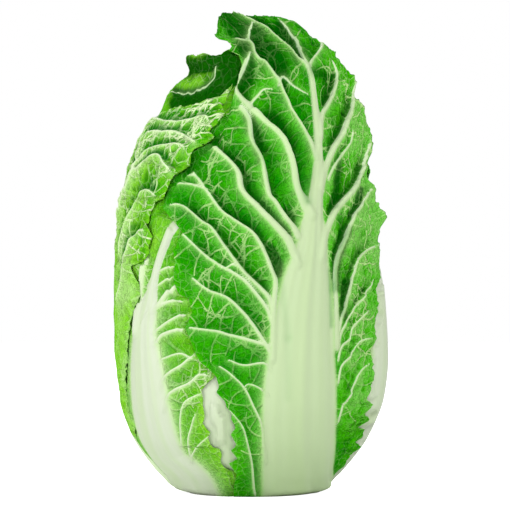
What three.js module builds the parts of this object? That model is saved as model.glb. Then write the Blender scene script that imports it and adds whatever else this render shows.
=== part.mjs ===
import * as THREE from "three";

// A head of Chinese cabbage, trimmed and standing on its cut base.
// Millimetres, +Z up, front of the head towards -Y, origin in the middle of the cut stem.
// The head is a short conical stem that carries a spiral of leaves. Each leaf is one solid: a thick
// pale rib at the bottom that thins out upwards, with a thin blade on both sides that wraps the head.

// ---- Driving dimensions ----

const LEAVES = 22;
const WRAPPERS = 9; // leaves of the outside, which reach down to the cut
const SPIRAL = THREE.MathUtils.degToRad(137.5); // turn from one leaf to the next
const FIRST_LEAF = THREE.MathUtils.degToRad(-112); // azimuth from the front, to the right

// Half of the head's outline, from the edge of the cut base to the crown: radius and height.
const OUTLINE = [
  [39, 0],
  [58, 16],
  [73, 36],
  [82, 62],
  [84.5, 96],
  [83, 150],
  [81.5, 186],
  [74, 218],
  [59, 254],
  [39, 281],
  [23, 297],
  [0, 304],
];
const CROWN_LEAN = 9; // how far right of the base the shoulder of the crown stands
const TOP_LEAN = 3; // the same at the very top, where the crown tips back
const SQUAT = 0.35; // how fast the inner leaves get shorter, next to how fast they get slimmer

// The stem: radius of the cut face, radius just above it where the first leaves come off, height.
const CUT_RADIUS = 23;
const STEM_RADIUS = 18;
const STEM_HEIGHT = 104;

const BLADE = 1.8; // thickness of a blade
const GAP = 1.8; // clear space between two leaves
const RIB_THICKNESS = 6.5; // inwards, at the cut
const RIB_RISE = 3.2; // outwards, at the cut
const RIB_HALF_WIDTH = 27; // at the cut
const RIB_TIP = 0.12; // share of the rib that is left at the tip of the leaf

// Widths of a leaf as half angles round the head, in radians.
const FOOT_HALF_ANGLE = 0.62;
const BLADE_HALF_ANGLE = 1.3;
const TIP_HALF_ANGLE = 1.1;
const TIP_ROUND = 0.12; // how much shorter a leaf is at its corners than at its tip
const RUFFLE = 2; // how far the margin waves out and in
const RUFFLES = 3.5; // waves along a margin

const { smoothstep, lerp, clamp } = THREE.MathUtils;

// ---- The head's form ----

const meridian = new THREE.SplineCurve(OUTLINE.map(([r, z]) => new THREE.Vector2(r, z)));
const MERIDIAN_LENGTH = meridian.getLength();

// The outline in small steps: radius, height and outward normal.
const STEPS = 400;
const steps = Array.from({ length: STEPS + 1 }, (_, i) => {
  const point = meridian.getPointAt(i / STEPS);
  const along = meridian.getTangentAt(i / STEPS);
  return { r: point.x, z: point.y, outR: along.y, outZ: -along.x };
});

// The outline at a climb in millimetres up from the cut.
function outlineAt(climb) {
  const at = clamp(climb / MERIDIAN_LENGTH, 0, 0.99999) * STEPS;
  const low = steps[Math.floor(at)];
  const high = steps[Math.floor(at) + 1];
  const t = at - Math.floor(at);
  return {
    r: lerp(low.r, high.r, t),
    z: lerp(low.z, high.z, t),
    outR: lerp(low.outR, high.outR, t),
    outZ: lerp(low.outZ, high.outZ, t),
  };
}

// Millimetres inwards for one unit of depth. Depth is 0 on the outline and 1 on the axis.
function depthScale(climb) {
  const { r, z, outR, outZ } = outlineAt(climb);
  return Math.max(r * outR + SQUAT * z * outZ, 12);
}

const leanAt = (height) =>
  CROWN_LEAN * smoothstep(height, 205, 262) - (CROWN_LEAN - TOP_LEAN) * smoothstep(height, 272, 302);

function shellPoint(turn, climb, depth) {
  const { r, z } = outlineAt(climb);
  const radius = r * (1 - depth);
  const height = z * (1 - SQUAT * depth);
  return new THREE.Vector3(leanAt(height) + radius * Math.sin(turn), -radius * Math.cos(turn), height);
}

// The turn, climb and depth of a point, from a first guess of its climb and depth.
function locate(point, climb, depth) {
  const x = point.x - leanAt(point.z);
  const radius = Math.hypot(x, point.y);
  for (let i = 0; i < 4; i++) {
    const { r, z, outR, outZ } = outlineAt(climb);
    const offR = radius - r * (1 - depth);
    const offZ = point.z - z * (1 - SQUAT * depth);
    climb = clamp(climb - offR * outZ + offZ * outR, 0, MERIDIAN_LENGTH);
    depth -= (offR * outR + offZ * outZ) / depthScale(climb);
  }
  return { turn: Math.atan2(x, -point.y), climb, depth };
}

// ---- How deep the leaves laid so far reach, on a grid round and up the head ----

const COLUMNS = 144;
const ROWS = 90;
const ROW_STEP = MERIDIAN_LENGTH / (ROWS - 1);
const SPREAD = 14; // millimetres over which a leaf bends to pass under the edge of another
const NO_LEAF = -0.2; // a depth outside the head, where nothing is laid yet
const reached = Array.from({ length: ROWS }, () => new Float32Array(COLUMNS).fill(NO_LEAF));

const wrap = (column) => ((column % COLUMNS) + COLUMNS) % COLUMNS;
const columnOf = (turn) => (turn / (2 * Math.PI)) * COLUMNS;

function noteReach(turn, climb, depth) {
  const row = clamp(Math.round(climb / ROW_STEP), 0, ROWS - 1);
  const column = wrap(Math.round(columnOf(turn)));
  reached[row][column] = Math.max(reached[row][column], depth);
}

// The columns that lie within a distance of each other on a row.
function columnsWithin(row, distance) {
  const { r } = outlineAt(row * ROW_STEP);
  const step = (2 * Math.PI * Math.max(r, 1)) / COLUMNS;
  return Math.min(Math.ceil(distance / step), COLUMNS / 2);
}

// Combines each cell with its neighbours, along the row and then across the rows.
function filter(grid, distance, combine) {
  const along = grid.map((line, row) => {
    const reach = columnsWithin(row, distance);
    return line.map((_, column) => {
      const near = [];
      for (let k = -reach; k <= reach; k++) near.push(line[wrap(column + k)]);
      return combine(near);
    });
  });
  const rows = Math.ceil(distance / ROW_STEP);
  return along.map((line, row) =>
    line.map((_, column) => {
      const near = [];
      for (let k = -rows; k <= rows; k++) near.push(along[clamp(row + k, 0, ROWS - 1)][column]);
      return combine(near);
    }),
  );
}

const deepest = (values) => Math.max(...values);
const mean = (values) => values.reduce((sum, value) => sum + value, 0) / values.length;

// A smooth surface that is nowhere less deep than the leaves laid so far.
const smoothReach = () => filter(filter(reached, SPREAD, deepest), SPREAD, mean);

function readGrid(grid, turn, climb) {
  const row = clamp(climb / ROW_STEP, 0, ROWS - 1.001);
  const column = columnOf(turn);
  const [low, left] = [Math.floor(row), Math.floor(column)];
  const at = (i, j) => grid[i][wrap(j)];
  const across = (i) => lerp(at(i, left), at(i, left + 1), column - left);
  return lerp(across(low), across(low + 1), row - low);
}

// ---- The stem ----

const STEM_PROFILE = [
  [0, 0],
  [CUT_RADIUS, 0],
  [STEM_RADIUS, 0.08 * STEM_HEIGHT],
  [STEM_RADIUS - 1, 0.28 * STEM_HEIGHT],
  [0.62 * STEM_RADIUS, 0.75 * STEM_HEIGHT],
  [0.3 * STEM_RADIUS, 0.97 * STEM_HEIGHT],
  [0, STEM_HEIGHT],
];
const STEM_SIDES = 20;

function stemRadiusAt(height) {
  for (let i = 2; i < STEM_PROFILE.length; i++) {
    const [r0, z0] = STEM_PROFILE[i - 1];
    const [r1, z1] = STEM_PROFILE[i];
    if (height <= z1) return lerp(r0, r1, (height - z0) / (z1 - z0));
  }
  return 0;
}

function makeStem() {
  const profile = STEM_PROFILE.map(([r, z]) => new THREE.Vector2(r, z));
  const geometry = new THREE.LatheGeometry(profile, STEM_SIDES);
  geometry.rotateX(Math.PI / 2);
  return geometry;
}

// ---- One leaf ----

// A leaf's half width, as an angle, at a share of its length.
function halfAngle(leaf, share) {
  const opening = smoothstep(share, 0.1, 0.68);
  const open = lerp(FOOT_HALF_ANGLE * leaf.foot, BLADE_HALF_ANGLE * leaf.width, opening);
  return lerp(open, TIP_HALF_ANGLE, smoothstep(share, 0.62, 0.9));
}

// What the rib adds outside and inside the blade: a slab with soft edges.
function ribAt(side, share, climb) {
  const left = lerp(1, RIB_TIP, smoothstep(share, 0.22, 0.85));
  const across = (Math.abs(side) * Math.max(outlineAt(climb).r, 1)) / (RIB_HALF_WIDTH * left);
  const form = 1 - smoothstep(across, 0.45, 1);
  return { rise: RIB_RISE * left * form, inward: RIB_THICKNESS * left * form };
}

// Columns stand closer at the rib than at the margins, and rows closer at the base and the crown.
const columnAt = (t) => t * (0.45 + 0.55 * Math.abs(t) ** 1.2);
const rowAt = (t) => t - (0.4 * Math.sin(2 * Math.PI * t)) / (2 * Math.PI);

// The leaf's grid of places with the depth of its outer and inner face at each.
function layLeaf(leaf, start, bound) {
  const rows = [];
  for (let j = 0; j <= leaf.rows; j++) {
    const share = rowAt(j / leaf.rows);
    const row = [];
    for (let i = 0; i <= leaf.columns; i++) {
      const across = columnAt((2 * i) / leaf.columns - 1);
      const side = across * halfAngle(leaf, share);
      const end = leaf.length * (1 - TIP_ROUND * Math.abs(across) ** 2);
      const spot = { turn: leaf.azimuth + side, climb: lerp(start, end, share) };
      const scale = depthScale(spot.climb);
      const { rise, inward } = ribAt(side, share, spot.climb);
      const wave = Math.sin(2 * Math.PI * RUFFLES * share + leaf.azimuth + (across > 0 ? 0 : 2));
      const ruffle = leaf.outside ? RUFFLE * Math.abs(across) ** 5 * wave : 0;
      const free = readGrid(bound, spot.turn, spot.climb) + (GAP + rise) / scale;
      const middle = Math.max(leaf.depth + ruffle / scale, free);
      row.push({ ...spot, outer: middle - rise / scale, inner: middle + (BLADE + inward) / scale });
    }
    rows.push(row);
  }
  return rows;
}

const clearsStem = (row) =>
  row.every(({ turn, climb, inner }) => {
    const point = shellPoint(turn, climb, inner);
    return Math.hypot(point.x, point.y) > stemRadiusAt(point.z) + GAP / 2;
  });

// The lowest start at which the whole leaf stays outside the stem.
function growLeaf(leaf, bound) {
  const STEP = 3;
  for (let start = 0; start < leaf.length / 2; start += STEP) {
    const rows = layLeaf(leaf, start, bound);
    if (rows.every(clearsStem)) return rows;
  }
  throw new Error("no room for a leaf at depth " + leaf.depth);
}

// Notes how deep the inner face of a leaf reaches, all over its flat facets.
function noteLeaf(rows) {
  const FINE = 7;
  const corner = (spot) => ({ ...spot, point: shellPoint(spot.turn, spot.climb, spot.inner) });
  const mix = (a, b, t) => ({
    point: a.point.clone().lerp(b.point, t),
    climb: lerp(a.climb, b.climb, t),
    inner: lerp(a.inner, b.inner, t),
  });
  for (let j = 0; j < rows.length - 1; j++) {
    for (let i = 0; i < rows[j].length - 1; i++) {
      const [a, b] = [corner(rows[j][i]), corner(rows[j][i + 1])];
      const [c, d] = [corner(rows[j + 1][i]), corner(rows[j + 1][i + 1])];
      for (let n = 0; n <= FINE; n++) {
        for (let m = 0; m <= FINE; m++) {
          const spot = mix(mix(a, b, n / FINE), mix(c, d, n / FINE), m / FINE);
          const { turn, climb, depth } = locate(spot.point, spot.climb, spot.inner);
          noteReach(turn, climb, depth);
        }
      }
    }
  }
}

// The closed solid between the outer and the inner face.
function leafGeometry(rows) {
  const width = rows[0].length;
  const count = rows.length * width;
  const points = [
    ...rows.flat().map((spot) => shellPoint(spot.turn, spot.climb, spot.outer)),
    ...rows.flat().map((spot) => shellPoint(spot.turn, spot.climb, spot.inner)),
  ];
  const faces = [];
  const quad = (a, b, c, d) => faces.push(a, b, c, a, c, d);
  for (let j = 0; j < rows.length - 1; j++) {
    for (let i = 0; i < width - 1; i++) {
      const a = j * width + i;
      quad(a, a + 1, a + width + 1, a + width);
      quad(count + a, count + a + width, count + a + width + 1, count + a + 1);
    }
  }
  const rim = [];
  for (let i = 0; i < width - 1; i++) rim.push(i);
  for (let j = 0; j < rows.length - 1; j++) rim.push(j * width + width - 1);
  for (let i = width - 1; i > 0; i--) rim.push((rows.length - 1) * width + i);
  for (let j = rows.length - 1; j > 0; j--) rim.push(j * width);
  rim.forEach((a, n) => {
    const b = rim[(n + 1) % rim.length];
    quad(b, a, count + a, count + b);
  });
  const geometry = new THREE.BufferGeometry().setFromPoints(points);
  geometry.setIndex(faces);
  geometry.computeVertexNormals();
  return geometry;
}

// ---- The head ----

// Each outside leaf has a length and a width of its own. The crown is closed by the second one.
const OUTSIDE = [
  { length: 0.79, foot: 0.75, width: 1.1 },
  { length: 0.98, foot: 1, width: 1 },
  { length: 0.93, foot: 1, width: 1 },
  { length: 0.88, foot: 1.1, width: 0.95 },
  { length: 0.93, foot: 1, width: 1 },
  { length: 0.97, foot: 1, width: 1 },
  { length: 0.94, foot: 1, width: 0.95 },
  { length: 0.97, foot: 1, width: 1 },
  { length: 0.95, foot: 1, width: 1 },
];
const INSIDE = { length: 0.95, foot: 1, width: 1 };

const leaves = Array.from({ length: LEAVES }, (_, k) => {
  const outside = k < WRAPPERS;
  const form = OUTSIDE[k] ?? INSIDE;
  return {
    name: (outside ? "wrapper_leaf_" : "heart_leaf_") + String(k + 1).padStart(2, "0"),
    azimuth: FIRST_LEAF + k * SPIRAL,
    depth: 0.02 + 0.006 * k,
    length: form.length * MERIDIAN_LENGTH,
    foot: form.foot,
    width: form.width,
    columns: outside ? 12 : 10,
    rows: outside ? 14 : 9,
    outside,
  };
});

const leafGreen = new THREE.MeshStandardMaterial({ color: 0x63af39, roughness: 0.55, metalness: 0 });
const heartYellow = new THREE.MeshStandardMaterial({ color: 0xd6dd8f, roughness: 0.55, metalness: 0 });
const stemWhite = new THREE.MeshStandardMaterial({ color: 0xdfe6cf, roughness: 0.6, metalness: 0 });

const head = new THREE.Group();

function add(name, geometry, material) {
  const mesh = new THREE.Mesh(geometry, material);
  mesh.name = name;
  head.add(mesh);
}

add("stem_core", makeStem(), stemWhite);
for (const leaf of leaves) {
  const rows = growLeaf(leaf, smoothReach());
  noteLeaf(rows);
  add(leaf.name, leafGeometry(rows), leaf.outside ? leafGreen : heartYellow);
}

export default head;
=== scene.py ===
import math
import bpy
import bmesh
import numpy as np
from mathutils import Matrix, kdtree


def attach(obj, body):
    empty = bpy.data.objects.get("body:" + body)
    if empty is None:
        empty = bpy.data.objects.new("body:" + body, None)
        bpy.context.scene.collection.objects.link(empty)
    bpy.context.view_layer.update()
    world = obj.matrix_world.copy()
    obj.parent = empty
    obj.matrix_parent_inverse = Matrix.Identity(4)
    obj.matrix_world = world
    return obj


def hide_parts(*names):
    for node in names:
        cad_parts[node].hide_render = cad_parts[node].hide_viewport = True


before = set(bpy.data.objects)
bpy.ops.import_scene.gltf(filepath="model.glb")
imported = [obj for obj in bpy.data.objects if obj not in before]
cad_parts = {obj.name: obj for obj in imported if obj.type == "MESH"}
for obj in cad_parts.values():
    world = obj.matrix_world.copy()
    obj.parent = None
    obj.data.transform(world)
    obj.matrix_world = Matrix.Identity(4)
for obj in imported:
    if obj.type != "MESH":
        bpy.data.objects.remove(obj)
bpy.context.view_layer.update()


# ---- Stem ----
# The short conical stem that every leaf grows from. It is crisp white tissue with a ring of
# darker vessels near its skin, and it was cut straight across when the head was harvested.

MM = 0.001
# Half of the stem's outline, radius and height in mm, from the middle of the cut to its top.
STEM_PROFILE = [
    (0, 0.15), (22.4, 0.15), (22.9, 1.2), (20.5, 5), (18, 8.5), (17.2, 20), (16.6, 30), (13.5, 58),
    (11, 78), (8, 92), (5, 100.5), (2, 103.6), (0, 104),
]


def srgb(red, green, blue):
    """A colour written 0 to 255, as the shaders need it."""
    parts = [c / 255 for c in (red, green, blue)]
    return tuple(p / 12.92 if p <= 0.04045 else ((p + 0.055) / 1.055) ** 2.4 for p in parts) + (1.0,)


class Nodes:
    """The node tree of one finish, with short ways to add a node and link it."""

    def __init__(self, name):
        self.material = bpy.data.materials.new(name)
        self.material.use_nodes = True
        self.tree = self.material.node_tree
        self.tree.nodes.clear()
        self.skin = self.add("ShaderNodeBsdfPrincipled")
        out = self.add("ShaderNodeOutputMaterial")
        self.tree.links.new(self.skin.outputs[0], out.inputs[0])

    def add(self, kind, inputs=(), **settings):
        node = self.tree.nodes.new(kind)
        for key, value in settings.items():
            setattr(node, key, value)
        for socket, value in dict(inputs).items():
            self.put(node.inputs[socket], value)
        return node

    def put(self, socket, value):
        if hasattr(value, "is_output"):
            self.tree.links.new(value, socket)
        else:
            socket.default_value = value

    def math(self, operation, a, b=0.5, clamp=False):
        node = self.add("ShaderNodeMath", {0: a, 1: b}, operation=operation, use_clamp=clamp)
        return node.outputs[0]

    def between(self, value, low, high, to_low=0.0, to_high=1.0):
        """to_low up to low, to_high from high on, and an even bend between them."""
        names = {"Value": value, "From Min": low, "From Max": high, "To Min": to_low, "To Max": to_high}
        node = self.add("ShaderNodeMapRange", names, interpolation_type="SMOOTHSTEP")
        return node.outputs[0]

    def mix(self, share, a, b):
        node = self.add("ShaderNodeMix", data_type="RGBA")
        self.put(node.inputs[0], share)
        self.put(node.inputs[6], a)
        self.put(node.inputs[7], b)
        return node.outputs[2]

    def noise(self, vector, scale, detail=3.0, rough=0.55):
        names = {"Vector": vector, "Scale": scale, "Detail": detail, "Roughness": rough}
        return self.add("ShaderNodeTexNoise", names).outputs[0]

    def attribute(self, name):
        return self.add("ShaderNodeAttribute", attribute_name=name).outputs["Fac"]


def place_mesh(name, mesh, material, node):
    """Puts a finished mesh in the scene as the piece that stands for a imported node."""
    piece = bpy.data.objects.new(name, mesh)
    bpy.context.scene.collection.objects.link(piece)
    mesh.materials.append(material)
    for face in mesh.polygons:
        face.use_smooth = True
    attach(piece, "root")
    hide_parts(node)


def make_stem():
    """The stem's outline turned round its axis, with a few soft bulges."""
    sides = 72
    form = bmesh.new()
    rings = []
    for radius, height in STEM_PROFILE:
        if radius == 0:  # the middle of the cut and the very top are one point each
            rings.append([form.verts.new((0, 0, height * MM))] * sides)
            continue
        ring = []
        for k in range(sides):
            turn = 2 * math.pi * k / sides
            out = radius * (1 + 0.02 * math.sin(3 * turn + 1) + 0.012 * math.sin(7 * turn))
            place = (out * math.cos(turn) * MM, out * math.sin(turn) * MM, height * MM)
            ring.append(form.verts.new(place))
        rings.append(ring)
    for lower, upper in zip(rings, rings[1:]):
        for k in range(sides):
            corners = (lower[k - 1], lower[k], upper[k], upper[k - 1])
            form.faces.new(list(dict.fromkeys(corners)))
    mesh = bpy.data.meshes.new("stem")
    form.to_mesh(mesh)
    form.free()
    return mesh


def stem_finish():
    """Pale cut tissue with a darker ring of vessels and a few dry patches."""
    n = Nodes("cut_stem")
    where = n.add("ShaderNodeTexCoord").outputs["Object"]
    grain = n.noise(where, 90.0, 6.0)
    spots = n.noise(where, 420.0, 2.0)
    apart = n.add("ShaderNodeSeparateXYZ", {0: where})
    across = n.math("SQRT", n.math("ADD", n.math("POWER", apart.outputs[0], 2.0),
                                   n.math("POWER", apart.outputs[1], 2.0)))
    ring = n.math("MULTIPLY", n.between(across, 0.0155, 0.0175), n.between(across, 0.0205, 0.018))
    tissue = n.mix(grain, srgb(206, 216, 176), srgb(236, 238, 214))
    tissue = n.mix(n.math("MULTIPLY", ring, n.between(spots, 0.42, 0.62)), tissue, srgb(176, 190, 132))
    dry = n.between(n.noise(where, 55.0, 4.0), 0.52, 0.75)
    tissue = n.mix(n.math("MULTIPLY", dry, 0.45), tissue, srgb(205, 190, 140))
    n.put(n.skin.inputs["Base Color"], tissue)
    n.put(n.skin.inputs["Roughness"], 0.5)
    bump = n.add("ShaderNodeBump", {"Strength": 0.35, "Distance": 0.0006, "Height": grain})
    n.put(n.skin.inputs["Normal"], bump.outputs[0])
    return n.material


place_mesh("stem", make_stem(), stem_finish(), "stem_core")


# ---- Outermost wrapper leaf, at the left and the back ----
# The oldest leaf left on the head: thin light green blade on crisp white ribs, grown from the foot of
# the stem and trimmed with it. It folds over the front leaf's upper left edge, crumpled and torn.

# Half of the head's outline, radius and height in mm, from the edge of the cut to the crown.
HEAD_OUTLINE = [
    (39, 0), (46.5, 5), (52, 10), (58, 16), (66, 25.5), (72.5, 35), (78, 47), (82, 60), (84.5, 80),
    (84.5, 100), (84, 122), (82.5, 152), (80.5, 176), (76.5, 196), (74, 210), (69.5, 226), (63, 238),
    (57.5, 247), (53.5, 255), (49, 265), (46.8, 272), (34, 281), (28, 288), (21, 295), (12, 298.5),
    (0, 299.5),
]
# How far the head's middle stands to the right of the cut, at a height, in mm.
HEAD_LEAN = [
    (0, -1), (10, -2), (35, -2), (60, -1), (90, -1), (122, -2), (152, -3), (183, -2.5), (200, -2.5),
    (214, 0.5), (228, 3), (240, 4.5), (248, 6), (258, 8.5), (265, 7.5), (272, 5.5), (280, 8.5), (290, 6.5),
    (296, 3), (301, 0),
]
SQUAT = 0.35  # how much lower a place lies at the head's axis than at its outline, as a share
EYE_BACK, EYE_SIDE, EYE_UP = 1771.0, 1.9, 148.0  # where the head is looked at from, in mm
# Drawn lines are in mm as seen from the front, x to the right and z up. The head is a little larger
# than they are and its foot lower, and they reach to this share of its half width.
DRAWN_SIZE, DRAWN_FOOT = 1.008, 2.6
IN_SIGHT = 0.985


def smooth_line(points, step=1.0):
    """A smooth line through the points in even steps, and how far along it each step is, 0 to 1."""
    p = np.array(points, float)
    p = np.vstack([p[:1], p, p[-1:]])
    t = np.linspace(0, 1, 24, endpoint=False)[:, None]
    parts = [0.5 * (2 * b + (c - a) * t + (2 * a - 5 * b + 4 * c - d) * t**2 + (3 * b - a - 3 * c + d) * t**3)
             for a, b, c, d in zip(p, p[1:], p[2:], p[3:])]
    line = np.vstack(parts + [p[-1:]])
    gone = np.concatenate([[0], np.cumsum(np.linalg.norm(np.diff(line, axis=0), axis=1))])
    even = np.linspace(0, gone[-1], max(int(gone[-1] / step), 2) + 1)
    return np.column_stack([np.interp(even, gone, part) for part in line.T]), even / gone[-1]


outline, outline_share = smooth_line(HEAD_OUTLINE, 0.5)
HEAD_CLIMB = float(np.sum(np.linalg.norm(np.diff(outline, axis=0), axis=1)))
climbs = outline_share * HEAD_CLIMB
slope = np.gradient(outline, axis=0)
slope /= np.linalg.norm(slope, axis=1)[:, None]
lean_line = smooth_line([(x, z) for z, x in HEAD_LEAN], 1.0)[0]


def radius_at(climb):
    return np.interp(climb, climbs, outline[:, 0])


def lean_at(height):
    return np.interp(height, lean_line[:, 1], lean_line[:, 0])


def climb_at(height):
    return np.interp(height, outline[:, 1], climbs)


def height_at(climb):
    return np.interp(climb, climbs, outline[:, 1])


def bend(value, low, high):
    """0 up to low, 1 from high on, and an even bend between them."""
    t = np.clip((value - low) / (high - low), 0, 1)
    return t * t * (3 - 2 * t)


def head_point(turn, climb, depth):
    """A place round and up the head, in mm. Depth is 0 at the outline and 1 at the head's axis."""
    radius = radius_at(climb) * (1 - depth)
    height = height_at(climb) * (1 - SQUAT * depth)
    return np.stack([lean_at(height) + radius * np.sin(turn), -radius * np.cos(turn), height], -1)


def depth_scale(climb):
    """Millimetres inwards for one unit of depth."""
    out_r = np.interp(climb, climbs, slope[:, 1])
    out_z = -np.interp(climb, climbs, slope[:, 0])
    return np.maximum(radius_at(climb) * out_r + SQUAT * height_at(climb) * out_z, 12)


def seen(points, depth):
    """Where points that are drawn as seen from the front lie on the head: turn, climb, and how far
    they stand out past its side."""
    x, z = np.array(points, float).T * DRAWN_SIZE
    z = z - DRAWN_FOOT
    back = np.full_like(x, -60.0)
    for _ in range(4):
        nearer = (EYE_BACK + back) / EYE_BACK
        wide = EYE_SIDE + (x - EYE_SIDE) * nearer
        high = EYE_UP + (z - EYE_UP) * nearer
        climb = np.interp(high, outline[:, 1] * (1 - SQUAT * depth), climbs)
        radius = radius_at(climb) * (1 - depth)
        wide = wide - lean_at(high)
        turn = np.arcsin(np.clip(wide / np.maximum(radius, 1), -IN_SIGHT, IN_SIGHT))
        back = -radius * np.cos(turn)
    return turn, climb, np.maximum(np.abs(wide) - radius * IN_SIGHT, 0)


# How deep the leaves laid so far reach, in cells of about a millimetre round and up the head.
CELLS_ROUND, CELLS_UP = 480, 360
NO_LEAF = -0.2
reached = np.full((CELLS_UP, CELLS_ROUND), NO_LEAF)
cell_climb = HEAD_CLIMB / (CELLS_UP - 1)
cell_round = 2 * math.pi * radius_at(np.arange(CELLS_UP) * cell_climb) / CELLS_ROUND


def spread(grid, distance, combine):
    """Each cell combined with its neighbours within a distance, along the row and then upwards."""
    along = np.empty_like(grid)
    for row in range(CELLS_UP):
        reach = int(math.ceil(distance / max(cell_round[row], 0.01)))
        if 2 * reach + 1 >= CELLS_ROUND:
            along[row] = combine(grid[row], axis=0)
            continue
        wide = np.concatenate([grid[row, -reach:], grid[row], grid[row, :reach]])
        windows = np.lib.stride_tricks.sliding_window_view(wide, 2 * reach + 1)
        along[row] = combine(windows, axis=1)
    reach = int(math.ceil(distance / cell_climb))
    high = np.concatenate([np.repeat(along[:1], reach, 0), along, np.repeat(along[-1:], reach, 0)])
    return combine(np.lib.stride_tricks.sliding_window_view(high, 2 * reach + 1, axis=0), axis=2)


def read_cells(grid, turn, climb):
    """The grid's values at places round and up the head, blended between its cells."""
    row = np.clip(climb / cell_climb, 0, CELLS_UP - 1.001)
    column = (turn / (2 * math.pi) * CELLS_ROUND) % CELLS_ROUND
    low, left = row.astype(int), column.astype(int) % CELLS_ROUND
    right = (left + 1) % CELLS_ROUND
    t, s = row - low, column - np.floor(column)
    return ((grid[low, left] * (1 - s) + grid[low, right] * s) * (1 - t)
            + (grid[low + 1, left] * (1 - s) + grid[low + 1, right] * s) * t)


def soften(values, times):
    """Evens out a grid of values with their neighbours."""
    for _ in range(times):
        wide = np.pad(values, ((1, 1), (0, 0)), "edge")
        values = 0.25 * wide[:-2] + 0.5 * wide[1:-1] + 0.25 * wide[2:]
        wide = np.pad(values, ((0, 0), (1, 1)), "edge")
        values = 0.25 * wide[:, :-2] + 0.5 * wide[:, 1:-1] + 0.25 * wide[:, 2:]
    return values


def note_cells(turn, climb, depth, spacing):
    """Adds a leaf's inner face to what the leaves laid so far reach."""
    own = np.full_like(reached, NO_LEAF)
    row = np.clip(np.round(climb / cell_climb).astype(int), 0, CELLS_UP - 1)
    column = np.round(turn / (2 * math.pi) * CELLS_ROUND).astype(int) % CELLS_ROUND
    np.maximum.at(own, (row.ravel(), column.ravel()), depth.ravel())
    np.maximum(reached, spread(own, spacing, np.max), out=reached)


def ripple(u, v, size, seed):
    """Soft random waves from -1 to 1 with hills of a size in mm."""
    lattice = np.random.RandomState(seed).uniform(-1, 1, (64, 64))
    x, y = u / size + 17.3, v / size + 9.1
    i, j = np.floor(x).astype(int), np.floor(y).astype(int)
    s, t = x - i, y - j
    s, t = s * s * (3 - 2 * s), t * t * (3 - 2 * t)
    at = lambda a, b: lattice[a % 64, b % 64]
    return ((at(i, j) * (1 - s) + at(i + 1, j) * s) * (1 - t)
            + (at(i, j + 1) * (1 - s) + at(i + 1, j + 1) * s) * t)


def crumple(u, v, size, seed):
    """Sharp random folds from -1 in the creases to 1 on the crests, in three sizes."""
    total, weight = 0, 1.0
    for k in range(3):
        bent_u = u + 0.35 * size * ripple(u, v, size * 0.8, seed + 10 + k)
        total = total + weight * (1 - 2.2 * np.abs(ripple(bent_u, v, size, seed + k)))
        size, weight = size * 0.55, weight * 0.55
    return np.clip(total / 1.9, -1, 1)


def cell_edges(u, v, size, seed):
    """Distance in mm to the nearest wall between the leaf's small random cells, with a side."""
    random = np.random.RandomState(seed)
    grid_u = np.arange(u.min() - 2 * size, u.max() + 2 * size, size)
    grid_v = np.arange(v.min() - 2 * size, v.max() + 2 * size, size)
    centres = np.array([(a, b) for a in grid_u for b in grid_v])
    centres += random.uniform(-0.45, 0.45, centres.shape) * size
    tree = kdtree.KDTree(len(centres))
    for k, (a, b) in enumerate(centres):
        tree.insert((a, b, 0), k)
    tree.balance()
    wall = np.empty(u.size)
    for k, (a, b) in enumerate(zip(u.ravel(), v.ravel())):
        (first, one, near), (second, two, far) = tree.find_n((a, b, 0), 2)
        wall[k] = (far * far - near * near) / (2 * math.dist(first, second)) * (1 if one < two else -1)
    return wall.reshape(u.shape)


RIB_STEP, VEIN_STEP = 1.5, 0.7  # from point to point along a side rib and a vein, in mm


def turned(way, angle):
    """A direction turned by an angle."""
    return np.array([way[0] * math.cos(angle) - way[1] * math.sin(angle),
                     way[0] * math.sin(angle) + way[1] * math.cos(angle)])


def wander(start, way, length, random, others):
    """A slightly bowed line from a place, that ends where it meets one of the other places."""
    line = [start]
    way = way / max(np.linalg.norm(way), 1e-6)
    bow = random.uniform(-0.045, 0.045)
    while len(line) * VEIN_STEP < length:
        way = turned(way, bow + random.uniform(-0.07, 0.07))
        line.append(line[-1] + way * VEIN_STEP)
        if len(line) > 4 and ((others - line[-1]) ** 2).sum(1).min() < 0.5:
            break
    return np.array(line)


def cross_veins(runs, seed, gap):
    """Veins that leave the side ribs and cross the blade to the next rib, with short ones that join
    them into cells. Each is a line over the leaf and its half width at both ends, in mm."""
    random = np.random.RandomState(seed)
    joined = np.vstack(runs)
    owner = np.concatenate([np.full(len(run), k) for k, run in enumerate(runs)])
    veins = []
    for k, run in enumerate(runs):
        along = np.gradient(run, axis=0)
        along /= np.linalg.norm(along, axis=1)[:, None]
        others = joined[owner != k]
        for hand in (-1, 1):
            at = random.uniform(2, gap)
            while at < len(run) * RIB_STEP - 2:
                i = int(at / RIB_STEP)
                way = hand * np.array([along[i][1], -along[i][0]]) + along[i] * random.uniform(0, 0.7)
                veins.append((wander(run[i], way, random.uniform(10, 26), random, others),
                              random.uniform(0.45, 0.62), 0.34))
                at += random.uniform(0.65, 1.35) * gap
    firsts = [line for line, _, _ in veins]
    for k, line in enumerate(firsts):
        others = np.vstack([other for j, other in enumerate(firsts) if j != k] + [joined])
        at = random.uniform(3, 8)
        while at < len(line) * VEIN_STEP - 1:
            j = int(at / VEIN_STEP)
            ahead = line[min(j + 1, len(line) - 1)] - line[j - 1]
            aim = turned(ahead, random.choice([-1, 1]) * random.uniform(1.1, 1.7))
            joint = wander(line[j], aim, 11, random, others)
            if len(joint) * VEIN_STEP < 10.5:
                veins.append((joint, 0.36, 0.3))
            at += random.uniform(6, 11)
    return veins


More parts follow.
